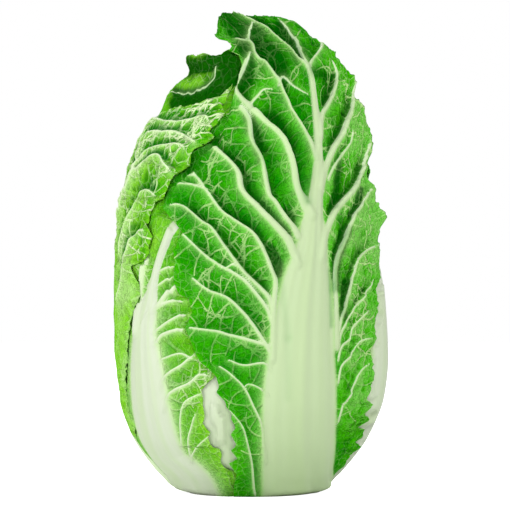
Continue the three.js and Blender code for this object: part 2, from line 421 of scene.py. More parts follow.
def vein_offsets(u, v, veins):
    """Signed and plain distance to the nearest vein, where 0.5 is its edge."""
    tree = kdtree.KDTree(sum(len(line) for line, _, _ in veins))
    places, ways, widths = [], [], []
    for line, root, end in veins:
        for place in line:
            tree.insert((*place, 0), len(places))
            places.append(place)
        along = np.gradient(line, axis=0)
        ways.append(along / np.maximum(np.linalg.norm(along, axis=1), 1e-6)[:, None])
        widths.append(np.linspace(root, end, len(line)))
    tree.balance()
    ways, widths = np.vstack(ways), np.concatenate(widths)
    found = np.array([tree.find((a, b, 0))[1] for a, b in zip(u.ravel(), v.ravel())])
    offset = np.column_stack([u.ravel(), v.ravel()]) - np.array(places)[found]
    signed = ways[found, 0] * offset[:, 1] - ways[found, 1] * offset[:, 0]
    share = 0.5 / widths[found]
    return (signed * share).reshape(u.shape), (np.hypot(*offset.T) * share).reshape(u.shape)


def drawn_place(points):
    """Where places on the head are seen from the front, as x and z in mm."""
    nearer = EYE_BACK / (EYE_BACK + points[..., 1])
    x = EYE_SIDE + (points[..., 0] - EYE_SIDE) * nearer
    z = EYE_UP + (points[..., 2] - EYE_UP) * nearer
    return x / DRAWN_SIZE, (z + DRAWN_FOOT) / DRAWN_SIZE


def stroke(points, line, size):
    """1 along a line drawn as seen from the front, fading out over a size in mm."""
    x, z = drawn_place(points)
    nearest = np.full(x.shape, 1e6)
    for a, b in (line if len(line) == 1 else smooth_line(line, size / 2)[0]):
        nearest = np.minimum(nearest, (x - a) ** 2 + (z - b) ** 2)
    return np.exp(-nearest / size**2) * (1 - bend(points[..., 1], -4, 18))


def surface_normals(points):
    """Outward directions of a grid of places."""
    across = np.gradient(points, axis=1)
    up = np.gradient(points, axis=0)
    normal = np.cross(across, up)
    return normal / np.maximum(np.linalg.norm(normal, axis=-1), 1e-9)[..., None]


def rib_distances(points, normals, line, reach):
    """For the points near a line: which they are, how far from it, on which side, how far along it
    from 0 to 1, and how far past its ends."""
    low, high = line.min(0) - reach, line.max(0) + reach
    near = np.flatnonzero(np.all((points > low) & (points < high), axis=1))
    if not len(near):
        return near, near, near, near, near
    chosen = np.empty(len(near), int)
    batch = 20000
    for part in range(0, len(near), batch):
        block = points[near[part:part + batch]]
        gap = ((block[:, None, :] - line[None]) ** 2).sum(-1)
        chosen[part:part + batch] = gap.argmin(1)
    along = np.gradient(line, axis=0)
    along /= np.linalg.norm(along, axis=1)[:, None]
    offset = points[near] - line[chosen]
    walked = (offset * along[chosen]).sum(1)
    inner = (chosen > 0) & (chosen < len(line) - 1)
    offset = offset - np.where(inner, walked, 0)[:, None] * along[chosen]
    right = np.cross(along[chosen], normals[near])
    past = np.where(inner, 0, np.abs(walked))
    side = np.sign((offset * right).sum(1))
    return near, np.linalg.norm(offset, axis=1), side, chosen / (len(line) - 1), past


CROWN_OPEN, CROWN_RISE = 273.5, 25.9  # how high the crown's open left is, and how much higher the rest


def crown_limit(turn):
    """How far up the leaves under the front one may reach: the crown is open at its left."""
    return climb_at(CROWN_OPEN + CROWN_RISE * bend(np.sin(turn), -0.56, -0.36))


def lay_places(leaf, rows, columns, start):
    """The leaf's grid of places on the head, from its foot to its tip and from margin to margin."""
    across, share = np.meshgrid(np.linspace(-1, 1, columns + 1), np.linspace(0, 1, rows + 1))
    tip = leaf["tip"](across)
    if not leaf.get("crown"):
        near_tip = np.full_like(across, climb_at(276))
        side = across * np.where(across < 0, leaf["left"](near_tip), leaf["right"](near_tip))
        tip = np.minimum(tip, crown_limit(leaf["azimuth"] + side))
    climb = start + share * (tip - start)
    left, right = leaf["left"](climb), leaf["right"](climb)
    side = np.where(across < 0, across * left, across * right)
    return across, share, leaf["azimuth"] + side, climb, side


def stem_radius_at(height):
    """How thick the stem is at a height, from the edge of the cut up."""
    heights, radii = [z for _, z in STEM_PROFILE[2:]], [r for r, _ in STEM_PROFILE[2:]]
    return np.interp(height, heights, radii, left=radii[0], right=0)


BLADE_ROOM = 1.2  # what a blade and the air beside it take up, in mm
STEM_AIR, STEM_END = 0.8, 108  # least air beside the stem, and a height past its top, in mm


def lowest_start(leaf, under):
    """How far up the head the leaf has to start so that it clears the stem."""
    for start in np.arange(0, 200, 2.0):
        across, share, turn, climb, side = lay_places(leaf, 40, 8, start)
        scale = depth_scale(climb)
        rib = leaf["thick"] * (1 - bend(np.abs(side) * radius_at(climb), 10, 26)) * (1 - bend(climb, 60, 220))
        least = read_cells(under, turn, climb) + BLADE_ROOM / scale
        depth = np.maximum(leaf["depth"], least) + (BLADE_ROOM + rib) / scale
        point = head_point(turn, climb, depth)
        free = np.hypot(point[..., 0], point[..., 1]) - stem_radius_at(point[..., 2])
        if np.all((free > STEM_AIR) | (point[..., 2] > STEM_END)):
            return start
    raise ValueError("no room for " + leaf["name"])


# What the values of a leaf say, with lengths in mm:
#   depth, gap, slack    how deep it lies in the head, how far under the leaves outside it, and how
#                        widely their hollows are passed over
#   left, right, tip     half its angle round the head at each margin, and how far up it ends
#   rise, thick, flute   how far the middle rib stands out, how thick it is, and its grooves
#   ribs, pleat          side ribs, and how deep the troughs above them are
#   cell, dimple, warp   size, depth and unevenness of the small cells of the blade
#   vein_gap, vein_rise  how far apart veins leave a side rib, and how far they stand out
#   swell, crumple       soft bulges, and the share of sharp folds of fold_size
#   frill, frill_deep    height of the margin's waves, and how far in they reach
#   tone, pits, glow   how pale the blade is before painted light is added, how dark the
#                         pits of its cells are painted as shade, and how far the middle rib's pale reaches on
#                         its right and its left
#   soft                 how softly a broad rib meets the blade
#   strokes, calm        marks drawn as seen from the front: see where they are first set
#   crown, rooted        whether it covers the crown, and whether drawn ribs are led to the middle rib
#   flush, tuck          whether its foot is cut smooth, and how far its right margin sinks
MIDRIB_REACH, RIB_REACH = 60.0, 26.0  # how far from a rib its relief and shades can be felt, in mm
LEAF_AIR = 0.35  # least air between a leaf and those outside it, in mm
LEAD_TURN, LEAD_DROP = 0.04, 26  # where a led rib leaves the middle rib: round from it, and mm lower


def grow_leaf(leaf, finish):
    """Makes one leaf: its places, its relief, its closed mesh and what its finish reads."""
    rows, columns = leaf["grid"]
    under = spread(spread(reached, leaf["slack"], np.max), leaf["slack"], np.mean)
    start = leaf["start"] if "start" in leaf else lowest_start(leaf, under)
    across, share, turn, climb, side = lay_places(leaf, rows, columns, start)
    scale = depth_scale(climb)
    radius = radius_at(climb)

    # the bare shell the leaf lies on
    rest = np.maximum(leaf["depth"], read_cells(under, turn, climb) + leaf["gap"] / scale)
    shell = head_point(turn, climb, rest)
    normals = surface_normals(shell)
    flat_shell, flat_normals = shell.reshape(-1, 3), normals.reshape(-1, 3)
    count = flat_shell.shape[0]

    # middle rib
    line, run = leaf["midrib"](rest.min())
    near, off, lean_side, at, _ = rib_distances(flat_shell, flat_normals, line, MIDRIB_REACH)
    half = np.interp(at, run[0], run[1])
    rib = np.full(count, MIDRIB_REACH)
    rib[near] = off - half
    rib_side, rib_half = np.full(count, MIDRIB_REACH), np.zeros(count)
    rib_side[near], rib_half[near] = off * lean_side, half
    pale = np.zeros(count)
    pale[near] = 1
    in_rib = np.full(count, 9.0)
    in_rib[near] = off / np.maximum(half, 0.5)
    width = np.zeros(count)
    width[near] = half
    slab = (1 - bend(in_rib, 0.35, 1.08)) * np.minimum(leaf["rise"], 0.55 * width + 0.3)
    thick = (1 - bend(in_rib, 0.3, 1.0)) * leaf["thick"] * bend(width, 1, 22)
    middle = rib.copy()
    strand = np.zeros(count)
    strand[near] = in_rib[near] * lean_side
    glow = np.zeros(count)
    fade = np.exp(-np.maximum(rib[near], 0) / np.where(lean_side > 0, *leaf["glow"]))
    glow[near] = 0.75 * fade * bend(half, 2, 9)
    flute = leaf["flute"] * (np.cos(strand * 9.5 + 0.8) + 0.5 * np.cos(strand * 17))
    slab = slab + flute * (1 - bend(in_rib, 0.7, 1.0)) * bend(width, 3, 14)

    # side ribs, each with the trough on its upper side
    ridge = np.zeros(count)
    runs = []
    above = np.full(count, RIB_REACH)
    below = np.full(count, RIB_REACH)
    fold = np.zeros(count)
    for root, end, pleat, points in leaf["ribs"]:
        if isinstance(points, list):
            rib_turn, rib_climb, _ = seen(smooth_line(points, RIB_STEP)[0], rest.min())
        else:
            rib_turn, rib_climb = smooth_line(points, RIB_STEP)[0].T
        if leaf.get("rooted") and isinstance(points, list) and root > 1:
            # from the middle rib, out of sight, to where the rib comes into view
            lead = np.linspace(0, 1, 24)[:-1]
            root_turn = leaf["azimuth"] + LEAD_TURN
            rib_turn = np.append(root_turn + (rib_turn[0] - leaf["azimuth"] - LEAD_TURN) * lead, rib_turn)
            rib_climb = np.append(rib_climb[0] - LEAD_DROP * (1 - lead) ** 1.5, rib_climb)
        run_line = head_point(rib_turn, rib_climb, rest.min())
        near, off, hand, at, past = rib_distances(flat_shell, flat_normals, run_line, RIB_REACH)
        if not len(near):
            continue
        half = root + (end - root) * at
        hand = hand * (1 if rib_turn[len(rib_turn) // 2] < leaf["azimuth"] else -1)
        height = 0.9 * half + 0.35
        ridge[near] = np.maximum(ridge[near], height * np.exp(-(off / (1.15 * half + 0.35)) ** 2))
        gap = off - half
        closer = gap < rib[near]
        rib[near] = np.minimum(rib[near], gap)
        rib_side[near[closer]], rib_half[near[closer]] = (off * hand)[closer], half[closer]
        if root >= 0.9:
            runs.append(np.column_stack([(rib_turn - leaf["azimuth"]) * radius_at(rib_climb), rib_climb]))
        tint = 0.25 + 0.75 * (1 - at) * min(root / 2.0, 1)
        pale[near[closer]] = np.where(middle[near[closer]] < 1, 1, tint[closer])
        up = hand > 0
        rim = np.where(up, 0.12, 0.5) * np.exp(-np.maximum(gap, 0) / np.where(up, 0.5, 1.5))
        rim = rim * min(root, 1.5) / 1.5
        glow[near] = np.maximum(glow[near], rim)
        above[near[~up]] = np.minimum(above[near[~up]], np.maximum(gap[~up], 0))
        nearer = up & (np.maximum(gap, 0) < below[near])
        depth_here = pleat * bend(off, 0, half + 1.3) * (1 - bend(past, 0, 5)) * (1 - bend(at, 0.85, 1) * 0.7)
        fold[near[nearer]] = depth_here[nearer]
        below[near[up]] = np.minimum(below[near[up]], np.maximum(gap[up], 0))
    clear = bend(middle, 0.5, 6)
    grid = lambda values: values.reshape(across.shape)
    terrace = grid(below / np.maximum(below + above, 0.01))
    dip = grid(fold * np.clip((below + above) / 12, 0, 1)) * (1 - bend(terrace, 0.02, 0.62))
    dip = dip * (1 - bend(grid(below), 6, 18)) * grid(clear)
    trough = -leaf["pleat"] * soften(dip, 2)

    # small cells between the ribs
    u, v = side * radius, climb
    bent_u = u + leaf["warp"] * (ripple(u, v, 9, 401) + 0.5 * ripple(u, v, 4, 402))
    bent_v = v + leaf["warp"] * (ripple(u, v, 9, 403) + 0.5 * ripple(u, v, 4, 404))
    wall_side = cell_edges(bent_u, bent_v, leaf["cell"], leaf["seed"])
    wall = np.abs(wall_side)
    vein_side, vein = np.full(u.shape, 9.0), np.full(u.shape, 9.0)
    if runs:
        vein_side, vein = vein_offsets(u, v, cross_veins(runs, leaf["seed"] + 50, leaf["vein_gap"]))
    uneven = 0.55 + 0.75 * bend(ripple(u, v, 11, leaf["seed"] + 8), -0.6, 0.6)
    blade = grid(bend(rib, 0.3, 3))
    dimple = leaf["dimple"] * uneven * (1 - np.exp(-(wall / 1.3) ** 2)) * blade
    dimple = dimple - leaf["vein_rise"] * np.exp(-(vein / 1.2) ** 2) * blade
    swell = ripple(u, v, 22, leaf["seed"] + 2) * leaf["swell"]
    swell = swell + ripple(u, v, 8, leaf["seed"] + 3) * leaf["swell"] * 0.45
    swell = swell * grid(bend(middle, 0, 14))
    folds = crumple(u, v, leaf["fold_size"], leaf["seed"] + 30)
    folded = leaf["crumple"](shell) * grid(bend(middle, 1, 12))
    swell = swell + 1.5 * folds * folded
    for size, lift, _, line in leaf.get("strokes", []):
        if lift:
            swell = swell + lift * stroke(shell, line, size)

    # margins, which stand off and wave
    edge = (1 - np.abs(across)) * np.where(across < 0, leaf["left"](climb), leaf["right"](climb)) * radius
    edge = np.minimum(edge, (1 - share) * (leaf["tip"](across) - start) * 1.2)
    wave = ripple(u * 0.4, v, 13, leaf["seed"] + 4) + 0.6 * ripple(u, v, 6, leaf["seed"] + 5)
    frill = leaf["frill"] * (0.5 + wave) * np.exp(-edge / leaf["frill_deep"]) * grid(bend(middle, 2, 10))
    frill = frill * bend(climb, *leaf["frill_from"])
    flare = np.where(across < 0, leaf["left_flare"](climb), leaf["right_flare"](climb)) * np.exp(-edge / 7)

    out = grid(slab) + np.maximum(grid(ridge) - 0.55 * grid(slab), 0) + grid(trough) - dimple + swell
    out = out * bend(climb, start - 1, start + 6) if leaf.get("flush") else out
    out = out + frill + flare - leaf.get("tuck", 0) * np.exp(-edge / 2) * (across > 0)
    under_now = spread(reached, 1.4, np.max)
    outer = np.maximum(rest - out / scale, read_cells(under_now, turn, climb) + LEAF_AIR / scale)
    blade_mm = (0.7 + 0.5 * np.exp(-np.maximum(grid(rib), 0) / 3)) * (0.45 + 0.55 * bend(edge, 0, 3))
    inner = outer + (blade_mm + grid(thick)) / scale
    spacing = max(np.median(np.linalg.norm(np.diff(shell, axis=0), axis=-1)),
                  np.median(np.linalg.norm(np.diff(shell, axis=1), axis=-1)))
    note_cells(turn, climb, inner, spacing * 0.75 + 0.4)

    # the closed mesh: a fine outer face, a coarser inner face and the margin between them
    face = head_point(turn, climb, outer)
    back = head_point(turn, climb, inner)[::2, ::2]
    form = bmesh.new()
    bmesh.ops.create_grid(form, x_segments=columns, y_segments=rows, size=1)
    rim = [e for e in form.edges if e.is_boundary]
    rear = set(bmesh.ops.create_grid(form, x_segments=columns // 2, y_segments=rows // 2, size=1)["verts"])
    rear_faces = {f for vert in rear for f in vert.link_faces}
    bmesh.ops.reverse_faces(form, faces=list(rear_faces))
    rear_rim = [e for e in form.edges if e.is_boundary and e.verts[0] in rear]
    for vert, place in zip(form.verts, np.vstack([face.reshape(-1, 3), back.reshape(-1, 3)])):
        vert.co = place * MM
    bmesh.ops.bridge_loops(form, edges=rim + rear_rim)
    mesh = bpy.data.meshes.new(leaf["name"])
    form.to_mesh(mesh)
    form.free()

    # what the finish reads: distances in mm and tones from 0 to 1, at every point of the mesh
    # Painted light: the tone is raised towards the rib above each trough and on the crests of sharp folds,
    # where light falls; the rest is the blade's own paleness and random unevenness.
    tone = leaf["tone"] + 0.25 * bend(terrace, 0.3, 1) * np.minimum(grid(fold) + 0.3, 1)
    tone = tone + 0.3 * folded * folds
    # Painted shade: the shade field darkens the blade in the troughs above the side ribs, across the panels
    # below them, in the pits of the small cells and in the creases of the folds.
    broad = np.minimum(grid(fold), 1) * (1 - bend(terrace, 0.05, 0.95)) * (1 - bend(grid(below), 8, 26))
    trench = grid(np.minimum(fold, 1.2) * np.exp(-below / 3.2)) * (1 - 0.6 * bend(terrace, 0.5, 1))
    shade = 0.9 * soften(trench, 1) * grid(clear) + 0.45 * soften(broad, 2) * grid(clear)
    shade = shade + leaf["pits"] * uneven * bend(wall, 0.5, 2.4) + 0.55 * folded * np.maximum(-folds, 0)
    tone = tone + 0.07 * ripple(u, v, 9, leaf["seed"] + 6) + 0.05 * ripple(u, v, 3, leaf["seed"] + 7)
    net = 0.3 + 0.7 * bend(ripple(u, v, 17, leaf["seed"] + 9), -0.5, 0.3)
    net = net + 0.5 * np.exp(-edge / 9)
    painted_rib_shade = across * 0
    # Drawn marks: paler ones raise the tone; darker ones are painted shade, on the blade and on the ribs'
    # flesh.
    for size, _, paler, line in leaf.get("strokes", []):
        if paler:
            here = stroke(shell, line, size)
            tone = tone + max(paler, 0) * here
            shade = shade + max(-paler, 0) * here
            painted_rib_shade = painted_rib_shade + max(-paler, 0) * here
    # Calm marks make the vein net fainter or stronger, and lighten the painted shade where above 0.
    for size, fainter, line in leaf.get("calm", []):
        here = stroke(shell, line, size)
        net = net * (1 - fainter * here)
        shade = shade * (1 - max(fainter, 0) * here)
    # Near the margin the painted shade fades and the blade turns paler: partly the leaf's own pale edge,
    # partly painted light that lifts the shadow in the gap under the margin.
    shade = shade * (1 - 0.8 * np.exp(-edge / 1.2))
    tone = tone + 0.25 * np.exp(-edge / 1.5)
    soft = 0.3 + leaf["soft"] * bend(rib_half, 5, 12) + 0.5 * (rib_side < 0) * (1 - bend(rib_half, 4, 6))
    fields = {
        "rib": grid(rib), "pale": grid(pale), "wall": wall, "wall_side": wall_side, "soft": grid(soft),
        "rib_side": grid(rib_side), "rib_half": grid(rib_half), "vein": vein, "vein_side": vein_side,
        "tone": tone, "glow": grid(glow), "shade": shade, "net": net, "strand": grid(strand),
        "painted_rib_shade": painted_rib_shade,
    }
    for key, values in fields.items():
        both_faces = np.concatenate([values.ravel(), values[::2, ::2].ravel()])
        layer = mesh.attributes.new(key, "FLOAT", "POINT")
        layer.data.foreach_set("value", both_faces.astype("f"))
    place = np.stack([u, v], -1)
    place = np.vstack([place.reshape(-1, 2), place[::2, ::2].reshape(-1, 2)]) * MM
    corners = np.empty(len(mesh.loops), int)
    mesh.loops.foreach_get("vertex_index", corners)
    mesh.uv_layers.new(name="blade").data.foreach_set("uv", place[corners].astype("f").ravel())
    place_mesh(leaf["name"], mesh, finish, leaf["node"])


# The ribs' flesh green and white: the white is laid on most along each rib's upper edge as a painted
# highlight, and the flesh green also paints shade on the lower side of slim ribs.
FLESH_GREEN = srgb(188, 211, 158)
RIB_WHITE = srgb(232, 243, 214)


def leaf_finish(name, dark, body, light, rib, vein, lines=0.8, walls=0.3):
    """Leaf skin: greens painted lighter and darker to follow the relief (painted light and shade), pale ribs
    with a painted highlight along their upper edge, and a net of veins in four sizes. Lines and walls say how
    strong its two coarser sizes are."""
    n = Nodes(name)
    uv = n.add("ShaderNodeUVMap", uv_map="blade").outputs[0]
    tone, pale = n.attribute("tone"), n.attribute("pale")
    shade, net = n.attribute("shade"), n.attribute("net")
    to_rib = n.math("SUBTRACT", n.math("ABSOLUTE", n.attribute("rib_side")), n.attribute("rib_half"))
    to_rib = n.math("MAXIMUM", to_rib, n.math("SUBTRACT", n.attribute("rib"), 0.45))
    to_vein = n.math("MAXIMUM", n.math("ABSOLUTE", n.attribute("vein_side")),
                     n.math("SUBTRACT", n.attribute("vein"), 0.9))
    to_wall = n.math("MAXIMUM", n.math("ABSOLUTE", n.attribute("wall_side")),
                     n.math("SUBTRACT", n.attribute("wall"), 0.8))
    cloud = n.noise(uv, 150.0, 4.0)
    grit = n.noise(uv, 1300.0, 3.0)

    # greens from the tone and its painted light, with the palest parts bleached
    tone = n.math("ADD", tone, n.math("MULTIPLY", n.math("SUBTRACT", cloud, 0.5), 0.35))
    tone = n.math("ADD", tone, n.math("MULTIPLY", n.math("SUBTRACT", grit, 0.5), 0.3))
    ramp = n.add("ShaderNodeValToRGB", {0: tone})
    ramp.color_ramp.elements[0].position = 0.05
    ramp.color_ramp.elements[0].color = dark
    ramp.color_ramp.elements[1].position = 1.0
    ramp.color_ramp.elements[1].color = light
    ramp.color_ramp.elements.new(0.5).color = body
    green = n.mix(n.between(tone, 0.9, 1.35, 0.0, 0.4), ramp.outputs[0], vein)

    # the net of veins, from the finest to the lines that cross from rib to rib
    bent = n.add("ShaderNodeTexNoise", {"Vector": uv, "Scale": 260.0, "Detail": 2.0}).outputs["Color"]
    bent = n.add("ShaderNodeVectorMath", {0: bent, "Scale": 0.0025}, operation="SCALE").outputs[0]
    bent = n.add("ShaderNodeVectorMath", {0: uv, 1: bent}, operation="ADD").outputs[0]
    nets = []
    for scale in (330.0, 760.0):
        cells = n.add("ShaderNodeTexVoronoi", {"Vector": bent, "Scale": scale}, feature="DISTANCE_TO_EDGE")
        nets.append(cells.outputs[0])
    green = n.mix(n.math("MULTIPLY", n.between(nets[1], 0.02, 0.14, 0.18, 0.0), net), green, light)
    green = n.mix(n.math("MULTIPLY", n.between(nets[0], 0.01, 0.09, 0.33, 0.0), net), green, light)
    # Painted shade: the greens go dark where the shade field is high, and the veins show less there.
    cover = n.math("ADD", shade, n.math("MULTIPLY", n.math("SUBTRACT", cloud, 0.5), 0.3))
    cover = n.between(cover, 0.05, 0.95, 0.0, 0.97)
    green = n.mix(cover, green, dark)
    seen_net = n.math("MULTIPLY", net, n.math("SUBTRACT", 1.0, n.math("MULTIPLY", cover, 0.92)))
    green = n.mix(n.math("MULTIPLY", n.between(to_wall, 0.1, 0.45, walls, 0.0), seen_net), green, vein)
    green = n.mix(n.math("MULTIPLY", n.between(to_vein, 0.25, 0.8, lines, 0.0), seen_net), green, vein)
    green = n.mix(n.attribute("glow"), green, vein)

    # the flesh of the ribs, with soft bands and fine streaks that run up them; painted shade where dark marks
    # are drawn, a painted highlight along each rib's upper edge and painted shade on the lower side of slim
    # ribs
    band = {"W": n.math("MULTIPLY", n.attribute("strand"), 2.2), "Scale": 1.0, "Detail": 1.0}
    band = n.add("ShaderNodeTexNoise", band, noise_dimensions="1D").outputs[0]
    streak = n.add("ShaderNodeMapping", {"Vector": uv, "Scale": (1.0, 0.05, 1.0)}).outputs[0]
    streaks = n.noise(streak, 170.0, 3.0)
    fine_streaks = n.noise(streak, 900.0, 2.0)
    flesh = n.mix(n.between(band, 0.25, 0.75, 0.45, 0.0), rib, FLESH_GREEN)
    flesh = n.mix(n.between(streaks, 0.3, 0.75, 0.0, 0.22), flesh, FLESH_GREEN)
    flesh = n.mix(n.between(fine_streaks, 0.3, 0.8, 0.0, 0.1), flesh, FLESH_GREEN)
    # painted shade on the ribs' flesh where dark marks are drawn
    flesh = n.mix(n.math("MULTIPLY", n.attribute("painted_rib_shade"), 0.8, clamp=True), flesh, body)
    # Painted light across the ribs: whiter along the upper edge as a painted highlight, greener on the lower
    # side of slim ribs as painted shade.
    upper = n.math("DIVIDE", n.attribute("rib_side"), n.math("MAXIMUM", n.attribute("rib_half"), 0.3))
    slim = n.between(n.attribute("rib_half"), 3.5, 6.0, 1.0, 0.0)
    flesh = n.mix(pale, n.mix(n.between(upper, -0.6, 1.0, 0.2, 0.85), vein, RIB_WHITE), flesh)
    flesh = n.mix(n.math("MULTIPLY", n.between(upper, -1.0, 0.6, 0.5, 0.0), slim), flesh, FLESH_GREEN)
    in_rib = n.between(n.math("DIVIDE", to_rib, n.attribute("soft")), -1.0, 0.6, 1.0, 0.0)
    skin = n.mix(in_rib, green, flesh)
    n.put(n.skin.inputs["Base Color"], skin)
    n.put(n.skin.inputs["Roughness"], 0.5)
    n.put(n.skin.inputs["Specular IOR Level"], n.between(in_rib, 0.0, 1.0, 0.0, 0.12))

    # relief too fine for the mesh
    height = n.math("MULTIPLY", n.between(nets[1], 0.02, 0.25, 1.0, 0.0), 0.3)
    height = n.math("ADD", height, n.math("MULTIPLY", grit, 0.35))
    height = n.math("ADD", height, n.between(nets[0], 0.0, 0.2, 0.8, 0.0))
    height = n.math("ADD", height, n.between(to_wall, 0.0, 1.0, 1.0, 0.0))
    height = n.math("ADD", height, n.between(to_vein, 0.1, 1.4, 1.6, 0.0))
    height = n.math("MULTIPLY", height, n.between(to_rib, -0.5, 1.0))
    height = n.math("ADD", height, n.math("MULTIPLY", streaks, n.between(to_rib, -1.0, 0.0, 0.25, 0.0)))
    height = n.math("ADD", height, n.between(to_rib, -0.8, 0.8, 1.2, 0.0))
    bump = n.add("ShaderNodeBump", {"Strength": 0.85, "Distance": 0.0006, "Height": height})
    n.put(n.skin.inputs["Normal"], bump.outputs[0])
    return n.material




def ragged(points, azimuth, depth, hand):
    """A margin drawn as seen from the front: side angle and flare by climb. Hand is -1 for the left."""
    turn, climb, over = seen(points, depth)
    order = np.argsort(climb, kind="stable")
    climb, turn, over = climb[order], turn[order], over[order]
    over = over * (climb < climb_at(262))
    return (lambda c: np.interp(c, climb, hand * (turn - azimuth))), (lambda c: np.interp(c, climb, over))


def torn(foot, wide, tip, seed):
    """A margin that isn't drawn: half angles at foot, belly and tip, with small teeth."""
    def side(climb):
        share = climb / HEAD_CLIMB
        angle = foot + (wide - foot) * bend(share, 0.1, 0.68)
        angle = angle + (tip - angle) * bend(share, 0.62, 0.9)
        bite = ripple(climb, climb * 0, 6, seed) * 2 + ripple(climb, climb * 0, 17, seed + 1) * 3
        return angle + bite * bend(share, 0.05, 0.2) / np.maximum(radius_at(climb), 8)
    return side


def blunt(height, seed, bite=2.5, drop=12):
    """A leaf's tip: how far up it ends across the leaf, from the height of its middle in mm."""
    def tip(across):
        end = climb_at(height) - drop * np.abs(across) ** 2.4
        return end + ripple(across * 60, across * 0, 7, seed) * bite
    return tip


def drawn_tip(heights, seed, bite=2.5):
    """A tip whose height in mm is given at places across the leaf, -1 to 1."""
    places, high = np.array(heights, float).T

    def tip(across):
        return climb_at(np.interp(across, places, high)) + ripple(across * 60, across * 0, 7, seed) * bite
    return tip


def straight_midrib(azimuth, foot_half=24.0):
    """A middle rib that runs straight up the leaf."""
    def midrib(depth):
        climb = np.linspace(0, HEAD_CLIMB * 0.9, 120)
        line = head_point(np.full_like(climb, azimuth), climb, depth)
        run = np.linspace(0, 1, 120)
        half = foot_half * (1 - bend(run, 0.15, 0.72)) + 2.2 * (1 - 0.75 * run)
        return line, (run, half)
    return midrib


def drawn_midrib(points):
    """A middle rib drawn as seen from the front: x, z and half width in mm."""
    def midrib(depth):
        line, run = smooth_line(points, 2.0)
        turn, climb, _ = seen(line[:, :2], depth)
        return head_point(turn, climb, depth), (run, line[:, 2])
    return midrib


def spaced_ribs(azimuth, wide, seed, pairs=9, first=70, last=250):
    """Side ribs by rule, as turn and climb: they leave the middle rib in pairs and bow upwards."""
    random = np.random.RandomState(seed)
    ribs = []
    for hand in (-1, 1):
        for climb in np.linspace(first, last, pairs):
            climb = climb + random.uniform(-5, 5) + 8 * hand
            root = 0.28 * (1 - bend(climb, 60, 200)) + 0.02
            reach = wide * random.uniform(0.8, 0.95)
            rise = random.uniform(38, 55)
            steps = np.linspace(0, 1, 6)
            turn = azimuth + hand * (root + (reach - root) * steps**0.9)
            up = climb + rise * steps**1.4 + random.uniform(-4, 4, 6)
            size = random.uniform(0.9, 1.9) * (1 - 0.4 * bend(climb, 150, 260))
            pleat = random.uniform(0.25, 0.8)
            ribs.append((size, 0.5, pleat, np.column_stack([turn, np.minimum(up, HEAD_CLIMB * 0.97)])))
    return ribs


still = lambda climb: np.zeros_like(climb)  # a margin that doesn't flare

wrapper_finish = leaf_finish("wrapper_leaf_skin", srgb(0, 112, 0), srgb(50, 164, 0), srgb(136, 216, 44),
                             srgb(226, 240, 206), srgb(216, 242, 182), 0.95, 0.45)

OUTER_DEGREES = -112
AZIMUTH_OUTER = math.radians(OUTER_DEGREES)
# The margin from the crown down, x and z as seen from the front.
OUTER_MARGIN = [
    (-12, 261), (-12, 256), (-17, 247), (-19, 245), (-17, 239), (-24, 231), (-27, 228), (-23, 224),
    (-31, 221), (-37, 217), (-40, 208), (-46, 205), (-50, 201), (-53, 195), (-56, 186), (-61, 184),
    (-64, 177), (-66, 169), (-62, 161), (-66, 154), (-66, 149), (-76, 143), (-72.5, 134), (-70.5, 126),
    (-74, 119), (-76, 113), (-78, 105), (-79, 98), (-80.3, 78), (-80.6, 66), (-78.5, 52), (-72.3, 40),
]
# Side ribs: half width at the root and at the end, depth of the trough, then where it runs.
OUTER_RIBS = [
    (1.1, 0.6, 0.8, [(-74, 222), (-63, 235), (-55, 240), (-45, 245), (-31, 247), (-23, 249), (-14, 256)]),
    (0.9, 0.5, 0.8, [(-70, 228), (-63, 234), (-53, 232), (-40, 234), (-30, 236), (-27, 232)]),
    (1.3, 0.6, 1.0, [(-78, 190), (-72, 206), (-71, 214), (-68, 221), (-64, 225), (-55, 226),
                     (-46, 226), (-36, 220)]),
    (0.9, 0.5, 0.8, [(-74, 203), (-68, 211), (-62, 216), (-53, 218), (-45, 218), (-42, 215)]),
    (1.2, 0.6, 1.0, [(-82, 178), (-76, 198), (-69, 204), (-63, 210), (-58, 211), (-55, 206), (-51, 202)]),
    (0.9, 0.5, 0.8, [(-82, 150), (-78, 170), (-72, 184), (-66, 190), (-60, 186)]),
    (0.9, 0.5, 0.8, [(-84, 122), (-80, 145), (-76, 158), (-71, 164), (-67, 164)]),
]
# Swellings and marks: size, how far it stands out, how much paler it is (below 0, how dark it is painted as
# shade), and where it runs.
OUTER_STROKES = [
    (8, 0, 0.55, [(-78, 125), (-82, 104), (-81, 74), (-76, 45)]), (9, 0, 0.3, [(-78, 165), (-81, 140)]),
    (12, 0, 0.4, [(-72, 205), (-80, 170), (-82, 130)]),
]
